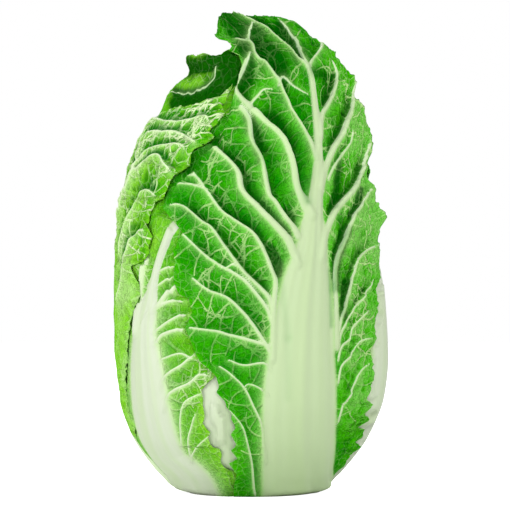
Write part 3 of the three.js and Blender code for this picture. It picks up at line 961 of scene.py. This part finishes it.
# Where the net of veins is fainter or, below 0, stronger: size, by what share, and where it runs. Above 0 the
# painted shade there is lighter by the same share.
OUTER_CALM = [
    (8, 0.85, [(-80, 130), (-82, 104), (-81, 74), (-76, 45)]),
    (9, -0.8, [(-25, 240), (-45, 215), (-60, 185)]),
]
drawn_right, outer_flare = ragged(OUTER_MARGIN, AZIMUTH_OUTER, 0.0, 1)
outer_right = lambda climb: drawn_right(climb) - 0.35 * (1 - bend(climb, 45, 62))
grow_leaf({
    "name": "leaf_outer_left", "node": "wrapper_leaf_01", "slot": "leaf", "azimuth": AZIMUTH_OUTER,
    "grid": (300, 220), "start": 0.0, "flush": True, "depth": 0.0, "gap": 0.6, "slack": 5,
    "left": torn(0.5, 1.3, 1.0, 11), "right": outer_right, "left_flare": still, "right_flare": outer_flare,
    "tip": drawn_tip([(-1, 168), (-0.85, 196), (-0.6, 210), (-0.44, 223), (-0.3, 219), (-0.15, 229),
                      (0, 224), (0.12, 232), (0.25, 231), (0.47, 237), (0.79, 242.5), (0.955, 247),
                      (1, 254)], 12, 1.5),
    "midrib": straight_midrib(AZIMUTH_OUTER, 22), "rooted": True,
    "ribs": OUTER_RIBS + spaced_ribs(AZIMUTH_OUTER, 1.2, 5, 9, 60, 205)[:9],
    "rise": 3.0, "thick": 5.0, "pleat": 2.6, "cell": 6.5, "dimple": 1.1, "swell": 1.0, "seed": 21,
    "frill": 1.6, "frill_deep": 7, "frill_from": (125, 165), "tone": 0.5, "pits": 0.35, "warp": 2.0,
    "glow": (4, 4), "flute": 0.2, "fold_size": 8, "tuck": 1.9, "vein_gap": 7, "vein_rise": 0.6, "soft": 2.0,
    "crumple": lambda place: 0.05 + 0.4 * bend(place[..., 2], 125, 155),
    "strokes": OUTER_STROKES, "calm": OUTER_CALM,
}, wrapper_finish)


# ---- Front wrapper leaf ----
# The broad leaf that faces the front, grown from the foot of the stem. Its middle rib is a thick pale
# slab of crisp tissue at the cut and forks at the crown. Strong side ribs lift the thin green blade in
# steps, with a trough above each that is painted dark as shade.

front_finish = leaf_finish("front_leaf_skin", srgb(0, 88, 0), srgb(4, 136, 0), srgb(74, 194, 8),
                           srgb(188, 207, 165), srgb(182, 226, 140), 0.7, 0.16)

AZIMUTH_FRONT = math.radians(25.5)
# Where the middle rib runs, x and z, and its half width.
FRONT_MIDRIB = [
    (29, -2, 24.5), (30, 4, 24.5), (31, 60, 24.2), (32, 90, 21.5), (33, 109, 20), (34, 121, 18.2),
    (35, 132, 16.6), (37, 152, 11.5), (38, 171, 7.5), (40, 190, 4.6), (41, 214, 3.3), (40, 233, 2.7),
    (37, 258, 2.2), (35, 265, 2.0),
]
FRONT_RIBS = [
    (1.3, 0.6, 0.6, [(35, 265), (30, 271), (24, 277), (15, 285), (9, 290), (3, 293), (-9, 299)]),
    (1.2, 0.6, 0.8, [(35, 265), (32, 272), (29, 279), (25, 286), (17, 295)]),
    (1.1, 0.6, 0.5, [(35, 265), (38, 270), (41, 275), (43, 281)]),
    (1.6, 0.7, 0.9, [(39, 208), (37, 216), (32, 228), (25, 239), (21, 247), (17, 256), (9, 269), (4, 272),
        (0, 279), (-2, 284), (1, 292)]),
    (0.9, 0.6, 0.3, [(-1, 281), (-5, 281.5), (-11, 282)]),
    (0.8, 0.5, 0.2, [(-1.5, 241.5), (2, 246), (7, 251.5), (12, 252)]),
    (0.8, 0.5, 0.2, [(16, 254), (19, 259), (26, 253), (34, 249)]),
    (3.4, 2.3, 1.2, [(36, 172), (32, 180), (28, 192), (24, 210), (20, 221), (13, 229), (1, 239)]),
    (2.0, 0.6, 0.7, [(1, 239), (-8, 248), (-10.5, 254), (-8, 259), (-4, 266), (-1, 275)]),
    (2.1, 1.4, 1.2, [(28, 160), (25, 167), (20, 174), (15, 182), (11, 187), (9, 195), (6, 210), (0, 222),
        (-2, 234), (-7, 241)]),
    (2.7, 1.5, 1.1, [(28, 142), (23, 156), (20, 161), (15, 167), (4, 179), (-6, 190), (-9, 202),
        (-17, 211), (-27, 219)]),
    (2.1, 0.7, 0.9, [(12.5, 84), (13, 100), (13.5, 120), (14.5, 133), (12, 141), (7.5, 152), (1.5, 162),
        (-4, 167), (-12, 172), (-19, 177), (-26, 186), (-36, 200)]),
    (0.8, 0.5, 0.4, [(-30, 192), (-35, 198), (-45, 199), (-51, 201)]),
    (0.8, 0.5, 0.4, [(-28, 190), (-40, 193), (-51, 193)]),
    (1.5, 0.6, 0.8, [(13, 108), (12.4, 114), (10.5, 122), (6, 128), (1, 133), (-6, 140), (-17, 155),
        (-25, 166), (-31, 170), (-42, 179), (-50, 180)]),
    (0.6, 0.5, 0.4, [(-6, 140), (-12, 143), (-18, 141), (-24, 146)]),
    (1.2, 0.7, 0.7, [(13, 104), (9, 116), (1, 127), (-7, 135), (-22, 144), (-29, 149), (-42, 161)]),
    (1.3, 0.7, 0.5, [(14, 84), (8, 94), (5, 99), (-1, 108), (-6, 114), (-16, 123), (-28, 128),
        (-36, 134)]),
    (1.1, 0.7, 0.4, [(12, 92), (6, 94), (-4, 97), (-15, 100), (-22, 102), (-38, 104)]),
    (0.8, 0.5, 0.3, [(12, 78), (7, 82), (-5, 81), (-14, 84)]),
    (0.9, 0.5, 0.3, [(8, 20), (7, 29), (6, 43), (1, 55), (-5, 67), (-14, 76), (-20, 80)]),
    (0.7, 0.4, 0.3, [(10, 62), (4, 67), (-2, 69), (-5, 67)]),
    (0.8, 0.4, 0.3, [(2, 0), (1, 6), (0, 19), (-2, 29), (-6, 43), (-14, 53)]),
    (1.8, 0.9, 0.9, [(42, 222), (43, 235), (46, 241), (50, 249), (53, 260), (50, 267)]),
    (2.7, 1.2, 0.8, [(42, 190), (45, 203), (50, 215), (55, 223), (58, 231), (61, 239), (60, 250)]),
    (1.1, 0.6, 0.6, [(47, 196), (50, 203), (55, 211), (60, 218), (61, 225)]),
    (2.8, 1.4, 0.8, [(42, 146), (45, 162), (50, 174), (56, 182), (63, 190), (68, 201), (70, 215)]),
    (2.2, 1.0, 0.8, [(52, 92), (51.5, 117), (51, 131), (51.5, 141), (53.5, 150), (58, 160), (63, 173),
        (67, 179), (72, 188)]),
    (1.2, 0.7, 0.8, [(53, 100), (55, 110), (58, 118), (61, 132), (65, 145), (71, 152), (76, 154)]),
    (0.9, 0.5, 0.6, [(53, 92), (55, 101), (58, 107), (63, 116), (69, 123), (75, 134)]),
    (0.9, 0.5, 0.4, [(53, 84), (55, 92), (60, 97), (62, 104), (71, 114)]),
    (0.9, 0.5, 0.4, [(53, 70), (55, 80), (60, 86), (66, 95), (73, 97)]),
    (0.9, 0.5, 0.3, [(53, 46), (56, 56), (58, 58), (61, 63), (66, 76), (71, 81)]),
]
FRONT_LEFT = [
    (-16, 299), (-18, 298), (-20, 292), (-24, 283), (-23.5, 281.3), (-15.5, 280.3), (-13, 277),
    (-14, 274.5), (-7, 271.5), (-5.5, 265), (-8.5, 258), (-11, 248), (-15, 240), (-24, 232), (-38, 222),
    (-50, 205), (-55, 188), (-55, 184), (-54, 177), (-51, 173), (-46, 167), (-42, 162), (-46, 154),
    (-48, 151), (-47, 143), (-48, 132), (-45, 125), (-39, 122), (-37, 114), (-39, 108), (-41, 104),
    (-38, 97), (-35, 89), (-32, 83), (-26, 78), (-22, 74), (-20, 67), (-22, 64), (-16, 58), (-16, 55),
    (-12, 51), (-13, 48), (-10, 42), (-13, 38), (-9, 31), (-13, 28), (-9, 23), (-14, 20), (-9, 13),
    (-11, 4), (-11, -4),
]
FRONT_RIGHT = [
    (34, 290), (42, 281.5), (50, 276), (56, 270), (61, 260), (63, 251), (62, 245), (68, 239), (71, 230),
    (73, 215), (70, 201), (71, 196), (77, 186), (76, 180), (82.5, 166), (78, 162), (77, 156), (79, 134),
    (76, 128), (77, 118), (73, 103), (75, 97), (71, 89), (73, 81), (72, 67), (68, 59), (72, 56), (68, 50),
    (71, 47), (64, 42), (69, 40), (64, 33), (66, 30), (58, 25), (54, 18), (46, 8), (40, 2), (38, -4),
]
# Swellings, paler marks and painted shade, as for the outer leaf: the dark marks paint shade in the troughs
# beside ribs, in the folds at the crown and in small pockets.
FRONT_STROKES = [
    (8, 0, -0.7, [(-14, 296), (-10, 289), (-3, 283)]), (8, 4, -0.1, [(-20, 289)]), (7, 3, 0, [(-14, 297)]),
    (9, 0, -0.55, [(2, 291), (10, 282), (16, 273)]), (4, -0.8, -0.8, [(18, 291), (24, 284), (30, 273)]),
    (7, 0, -0.6, [(-5, 275), (-7, 266), (-4, 257)]), (5, 0, -0.6, [(10, 272), (18, 262), (24, 250)]),
    (6, 0, 0.25, [(48, 270), (58, 252), (66, 236), (70, 215)]), (4, 0, -0.7, [(38, 262), (44, 262)]),
    (6, 3, 0, [(48, 276)]), (14, 0, 0.45, [(64, 235), (70, 205), (72, 170), (70, 130), (66, 90), (64, 50)]),
    (7, 0.5, 0.12, [(-4, 250), (2, 245)]), (5, 0, -0.3, [(12, 246), (17, 232)]),
    (4, 0, -0.6, [(30, 222), (34, 208)]), (3, 0, -0.6, [(29, 205), (31, 190), (33, 181)]),
    (3, 0, -0.8, [(-3, 236), (1, 222), (5, 208)]), (4, 0, -0.5, [(8, 214), (12, 200), (16, 190)]),
    (2.4, -0.8, -1.3, [(13, 155), (16.5, 148), (17, 138.5)]),
    (2.4, -0.4, -0.16, [(17.5, 133), (19, 124), (20.5, 112), (22, 97)]),
    (2.4, -0.3, -0.1, [(22, 97), (22, 60)]), (6, 0, -0.5, [(-25, 222), (-32, 212), (-38, 203)]),
    (2.5, 0, -0.8, [(53.5, 206), (52.5, 192), (51, 180)]),
    (2.6, -0.5, -1.2, [(51.5, 128), (52.5, 143), (55.5, 154), (60, 165)]),
    (2.5, 0, -0.9, [(56, 112), (57, 122), (58, 132)]), (2.2, 0, -1.0, [(64, 176), (66, 184), (67, 190)]),
    (1.1, -0.4, -0.5, [(48, 140), (48.7, 125), (49, 105)]), (7, 0, 0.35, [(56, 160), (50, 148), (50, 160)]),
    (5, 0, 0.35, [(46, 200), (47, 186), (44, 170)]), (8, 0, 0.3, [(74, 190), (76, 170), (74, 150)]),
    (10, 0, 0.1, [(-30, 110), (-22, 95)]), (7, 0, 0.25, [(-17, 52), (-13, 35), (-10, 20)]),
    (12, 0, 0.1, [(-2, 60), (2, 30)]),
]
FRONT_CALM = [
    (6, 0.85, [(32, 222), (34, 205), (35, 190)]), (5, 0.85, [(8, 212), (14, 198), (19, 184)]),
    (4, 0.85, [(12, 165), (20, 150)]), (5, 0.85, [(24, 250), (31, 235)]),
    (7, -1.6, [(54, 262), (64, 240), (71, 215)]), (8, -1.6, [(70, 205), (66, 170), (70, 140), (66, 100)]),
    (8, -0.3, [(-14, 296), (0, 285), (-5, 272)]), (5, -0.8, [(48, 198), (47, 175)]),
]
front_left, front_left_flare = ragged(FRONT_LEFT, AZIMUTH_FRONT, 0.03, -1)
front_right, front_right_flare = ragged(FRONT_RIGHT, AZIMUTH_FRONT, 0.03, 1)
grow_leaf({
    "name": "leaf_front", "node": "wrapper_leaf_02", "slot": "leaf", "azimuth": AZIMUTH_FRONT,
    "grid": (310, 230), "start": 0.0, "flush": True, "crown": True, "depth": 0.02, "gap": 1.2, "slack": 5,
    "left": front_left, "right": front_right,
    "left_flare": front_left_flare, "right_flare": front_right_flare,
    "tip": blunt(299.2, 13, 1.5, 4), "midrib": drawn_midrib(FRONT_MIDRIB), "ribs": FRONT_RIBS,
    "rise": 2.6, "thick": 5.0, "pleat": 3.4, "cell": 4.6, "dimple": 0.35, "swell": 0.8, "seed": 31,
    "frill": 0.9, "frill_deep": 5, "frill_from": (0, 30), "tone": 0.55, "pits": 0.08, "warp": 1.6,
    "strokes": FRONT_STROKES, "calm": FRONT_CALM, "glow": (0.6, 2.2), "flute": 0.3, "fold_size": 6,
    "vein_gap": 11, "vein_rise": 0.35, "soft": 2.0,
    "crumple": lambda place: 0.2 + 0.8 * bend(place[..., 0], 42, 60) + 0.5 * bend(place[..., 2], 262, 282),
}, front_finish)


# ---- Wrapper leaf at the back ----
# The leaf that covers the far side of the head, in the same tissue as the front one: a thick pale rib
# and a thin green blade. It grows from the foot of the stem and was trimmed with it.

def plain_leaf(name, node, degrees, k, grid, wide=1.3, top=290, **more):
    """A leaf's values by rule: the k-th from outside, facing a direction, with any that differ."""
    azimuth = math.radians(degrees)
    leaf = {
        "name": name, "node": node, "slot": "leaf", "azimuth": azimuth, "grid": grid,
        "depth": 0.015 + 0.006 * k, "gap": 2.0, "slack": 6,
        "left": torn(0.62, wide, 1.1, 100 + 7 * k), "right": torn(0.62, wide, 1.1, 103 + 7 * k),
        "left_flare": still, "right_flare": still, "tip": blunt(top, 50 + k),
        "midrib": straight_midrib(azimuth), "ribs": spaced_ribs(azimuth, wide, 60 + k),
        "rise": 2.6, "thick": 5.0, "pleat": 2.6, "cell": 5.0, "dimple": 0.6, "swell": 1.2,
        "seed": 200 + 10 * k, "frill": 2.0, "frill_deep": 7, "frill_from": (0, 30), "tone": 0.52,
        "pits": 0.12, "warp": 1.6, "glow": (4, 4), "flute": 0.15, "fold_size": 8, "vein_gap": 8,
        "vein_rise": 0.35, "soft": 2.0, "crumple": lambda place: 0.4,
    }
    leaf.update(more)
    return leaf


back_tip = drawn_tip([(-1, 295), (0, 298), (0.5, 295), (1, 283)], 14)
grow_leaf(plain_leaf("leaf_back", "wrapper_leaf_03", 163, 2, (220, 170), start=0.0, flush=True,
                     tip=back_tip), front_finish)


# ---- Left wrapper leaf ----
# A leaf of crisp pale rib and thin green blade, grown from the foot of the stem under the front leaf.
# Its wide rib fills the lower left of the head, and side ribs run from it to the front leaf's margin.

left_finish = leaf_finish("left_leaf_skin", srgb(0, 84, 0), srgb(62, 168, 0), srgb(144, 220, 50),
                          srgb(206, 214, 194), srgb(208, 236, 172), 0.6, 0.2)
LEFT_DEGREES = -59.5
LEFT_MIDRIB = [
    (-34, -4, 19), (-37, 2, 20), (-43, 12, 23), (-53, 22, 22), (-60, 35, 21), (-64, 53, 19.5),
    (-66, 72, 17.5), (-67, 91, 14), (-66, 106, 10), (-63, 119, 6.8), (-61, 130, 3.8), (-59, 140, 3.0),
    (-56, 150, 3.0), (-51, 163, 3.2), (-48, 168, 3.4),
]
LEFT_RIBS = [
    (0.9, 0.6, 0.2, [(-64, 130), (-60, 136), (-55, 140), (-47, 143)]),
    (0.8, 0.5, 0.2, [(-64, 122), (-60, 128), (-54, 133), (-46, 138)]),
    (1.9, 1.5, 0.2, [(-68, 100), (-64, 110), (-58, 117), (-53, 124), (-47, 131), (-42, 134)]),
    (1.1, 0.8, 0.2, [(-62, 112), (-57, 117), (-51, 120), (-40, 122), (-32, 122)]),
    (0.9, 0.7, 0.2, [(-63, 98), (-58, 103), (-48, 110), (-37, 114), (-30, 116)]),
    (1.2, 0.9, 0.2, [(-62, 90), (-58, 96), (-54, 100), (-41, 104), (-32, 105)]),
    (0.7, 0.5, 0.2, [(-58, 80), (-56, 84), (-45, 88), (-38, 86), (-34, 88)]),
    (1.1, 0.7, 0.2, [(-57, 62), (-55, 71), (-51, 76), (-43, 81), (-36, 88)]),
    (1.1, 0.7, 0.2, [(-54, 52), (-52, 61), (-48, 65), (-38, 70), (-32, 75), (-22, 75)]),
    (0.8, 0.5, 0.2, [(-43, 30), (-44, 45), (-43, 54), (-40, 59), (-32, 63)]),
    (0.8, 0.5, 0.2, [(-37, 22), (-39, 33), (-37, 43), (-35, 50)]),
    (0.7, 0.4, 0.2, [(-37, 20), (-36, 26), (-32, 32), (-26, 37)]),
    (3.6, 2.6, 0.1, [(-70, 100), (-70, 112), (-68.5, 124), (-67, 136), (-66.5, 146)]),
    (0.45, 0.35, 0.0, [(-22, 267), (-23, 261), (-26, 257), (-31, 253.5), (-38, 251.5), (-45.5, 249),
                       (-52, 245), (-57, 241)]),
]
LEFT_MARGIN = [
    (6, 280), (6, 262), (2, 240), (-4, 225), (-8, 210), (-16, 180), (-20, 120), (-19, 90), (-20, 78),
    (-22, 74), (-26, 70), (-30, 64.5), (-29, 60), (-29.5, 56), (-28, 49), (-29.5, 44.5), (-27, 41),
    (-25, 39), (-26, 35), (-24, 30), (-20, 29.5), (-18, 26), (-19, 21), (-16, 17), (-10, 15), (-8, 8),
    (-6, -4),
]
# Swellings, paler marks and painted shade, as for the outer leaf: the darkest marks paint the shade in the
# gap under the fold near the crown.
LEFT_STROKES = [
    (3.0, -3, -1.6, [(-19, 259), (-26, 254), (-32, 251), (-39, 249.8), (-45, 248)]),
    (3.0, -2, -1.4, [(-16, 255), (-22, 249), (-30, 246.5), (-40, 245.5), (-48, 242)]),
    (5.5, -2, -1.6, [(-23, 272), (-13, 270), (-12, 262), (-16, 258)]),
    (8, 0, -0.9, [(-22, 270), (-30, 266), (-38, 268)]), (2.5, 4, 0, [(-41, 273)]),
    (8, 5.5, 0, [(-52, 251)]), (4.5, -1.5, 0, [(-40, 264)]),
    (5, 0, -0.3, [(-40, 262), (-50, 257), (-58, 246)]), (6, 0, 0.3, [(-74, 140), (-76, 120), (-77, 100)]),
    (5, 0, 0.2, [(-60, 160), (-66, 152)]), (10, 0, 0.15, [(-20, 60), (-22, 40), (-15, 20)]),
]
left_right, _ = ragged(LEFT_MARGIN, math.radians(LEFT_DEGREES), 0.06, 1)
left_tip = drawn_tip([(-1, 248), (-0.65, 262), (-0.52, 276), (0, 277), (1, 277)], 15, 0.6)
grow_leaf(plain_leaf(
    "leaf_left", "wrapper_leaf_04", LEFT_DEGREES, 3, (290, 170), start=0.0, flush=True,
    right=left_right, tip=left_tip, midrib=drawn_midrib(LEFT_MIDRIB), ribs=LEFT_RIBS,
    strokes=LEFT_STROKES, calm=[(10, -1.6, [(-28, 266), (-38, 268)])],
    depth=0.019, gap=0.2, slack=3, thick=4.0, pleat=1.0, cell=5.0, dimple=0.3, swell=0.5,
    frill=0.6, tone=0.6, pits=0.04, soft=3.0,
    crumple=lambda place: 0.1 + 0.6 * bend(place[..., 2], 235, 250)), left_finish)


# ---- Wrapper leaves of the right side and those below the first four ----
# The next leaves inwards, of the same crisp tissue, each grown a little higher from the stem. They
# fill the gaps between the outer ones: a pale rib shows at the right, another through the opening
# low down at the front.

RIGHT_STROKES = [(20, -4, 0, [(76, 200), (68, 240)])]
grow_leaf(plain_leaf("leaf_right", "wrapper_leaf_05", 78, 4, (200, 130), top=284, depth=0.012, gap=0.5,
                     slack=3, strokes=RIGHT_STROKES), left_finish)
# Painted shade in the dark throat between the front leaf and the left leaf, near the crown.
THROAT = [(9, 0, -1.6, [(-20, 272), (-10, 268), (-6, 258)])]
# Name, node, direction in degrees, tip and slack.
LATER = [
    ("leaf_back_left", "wrapper_leaf_06", -144.5,
     drawn_tip([(-1, 292), (0, 288), (0.5, 270), (1, 260)], 16), 5),
    ("leaf_under_front", "wrapper_leaf_07", -7, blunt(299.3, 17), 2.5),
    ("leaf_back_right", "wrapper_leaf_08", 130.5, blunt(299, 18), 5),
    ("leaf_under_left", "wrapper_leaf_09", -92, blunt(262, 19), 5),
]
for k, (name, node, degrees, tip, slack) in enumerate(LATER, 5):
    grow_leaf(plain_leaf(name, node, degrees, k, (150, 100), tip=tip, depth=0.029, gap=0.3, thick=4.0,
                         slack=slack, strokes=THROAT), left_finish)


# ---- Heart ----
# The young leaves, packed round the upper stem that they grow from. Their thin crisp tissue gets
# little light, so it stays a pale yellowish green, and ribs and blade are nearly one colour.

heart_finish = leaf_finish("heart_leaf_skin", srgb(96, 172, 30), srgb(150, 208, 66), srgb(200, 232, 120),
                           srgb(212, 232, 168), srgb(210, 236, 158))
SPIRAL = 137.5  # degrees round the stem from each leaf to the next
for k in range(9, 22):
    name = "heart_%02d" % (k + 1)
    node = "heart_leaf_%02d" % (k + 1)
    top = 299.3 if k < 13 else 286  # the outer four close the crown
    grow_leaf(plain_leaf(name, node, OUTER_DEGREES + SPIRAL * k, k, (56, 36), top=top, wide=1.25,
                         ribs=[], slot="heart_leaf", gap=1.3, thick=3.2, slack=9,
                         crumple=lambda place: 1.2), heart_finish)


# ---- Studio ----
# A pale matt floor that keeps the head's shadow, a plain white surround, and large soft lamps at the
# front, the left and the rear. The head is seen level from the front.

def white_surround():
    """White where it is looked at, and a soft even light of its own."""
    world = bpy.data.worlds.new("studio")
    bpy.context.scene.world = world
    world.use_nodes = True
    tree = world.node_tree
    tree.nodes.clear()
    out = tree.nodes.new("ShaderNodeOutputWorld")
    mix = tree.nodes.new("ShaderNodeMixShader")
    path = tree.nodes.new("ShaderNodeLightPath")
    room, seen_white = tree.nodes.new("ShaderNodeBackground"), tree.nodes.new("ShaderNodeBackground")
    room.inputs[0].default_value, room.inputs[1].default_value = (1, 1, 1, 1), 0.65
    seen_white.inputs[0].default_value, seen_white.inputs[1].default_value = (1, 1, 1, 1), 1.0
    most = tree.nodes.new("ShaderNodeMath")
    most.operation = "MAXIMUM"
    tree.links.new(path.outputs["Is Camera Ray"], most.inputs[0])
    tree.links.new(path.outputs["Is Transmission Ray"], most.inputs[1])
    tree.links.new(most.outputs[0], mix.inputs[0])
    tree.links.new(room.outputs[0], mix.inputs[1])
    tree.links.new(seen_white.outputs[0], mix.inputs[2])
    tree.links.new(mix.outputs[0], out.inputs[0])


def pale_floor():
    """A wide matt disc with a little light of its own towards the eye, so that it is seen white."""
    form = bmesh.new()
    bmesh.ops.create_circle(form, cap_ends=True, segments=64, radius=3.0)
    mesh = bpy.data.meshes.new("floor")
    form.to_mesh(mesh)
    form.free()
    floor = bpy.data.objects.new("floor", mesh)
    bpy.context.scene.collection.objects.link(floor)
    material = bpy.data.materials.new("floor_white")
    material.use_nodes = True
    tree = material.node_tree
    tree.nodes.clear()
    out = tree.nodes.new("ShaderNodeOutputMaterial")
    matt = tree.nodes.new("ShaderNodeBsdfDiffuse")
    matt.inputs[0].default_value = (0.9, 0.9, 0.9, 1)
    glow = tree.nodes.new("ShaderNodeEmission")
    path = tree.nodes.new("ShaderNodeLightPath")
    add = tree.nodes.new("ShaderNodeAddShader")
    part = tree.nodes.new("ShaderNodeMath")
    part.operation = "MULTIPLY"
    part.inputs[1].default_value = 0.9
    tree.links.new(path.outputs["Is Camera Ray"], part.inputs[0])
    tree.links.new(part.outputs[0], glow.inputs[1])
    tree.links.new(matt.outputs[0], add.inputs[0])
    tree.links.new(glow.outputs[0], add.inputs[1])
    tree.links.new(add.outputs[0], out.inputs[0])
    mesh.materials.append(material)


def soft_lamp(name, place, aim, size, watts):
    """A square lamp at a place, turned to face what it lights."""
    data = bpy.data.lights.new(name, "AREA")
    data.shape, data.size, data.energy = "SQUARE", size, watts
    lamp = bpy.data.objects.new(name, data)
    lamp.location = place
    way = [a - p for a, p in zip(aim, place)]
    flat = math.hypot(way[0], way[1])
    lamp.rotation_euler = (math.pi / 2 + math.atan2(way[2], flat), 0, math.atan2(-way[0], way[1]))
    bpy.context.scene.collection.objects.link(lamp)


white_surround()
pale_floor()
soft_lamp("key", (0.45, -1.45, 1.0), (0, 0, 0.15), 0.7, 12.3)
soft_lamp("fill", (-1.5, -1.0, 0.35), (0, 0, 0.15), 1.0, 13)
soft_lamp("rear", (-0.3, 1.5, 1.2), (0, 0, 0.15), 1.0, 12)

camera_data = bpy.data.cameras.new("camera")
camera_data.lens, camera_data.sensor_width = 200, 36
camera = bpy.data.objects.new("camera", camera_data)
camera.location = (EYE_SIDE * MM, -EYE_BACK * MM, EYE_UP * MM)
camera.rotation_euler = (math.pi / 2, 0, 0)
bpy.context.scene.collection.objects.link(camera)
bpy.context.scene.camera = camera
bpy.context.scene.view_settings.view_transform = "Standard"
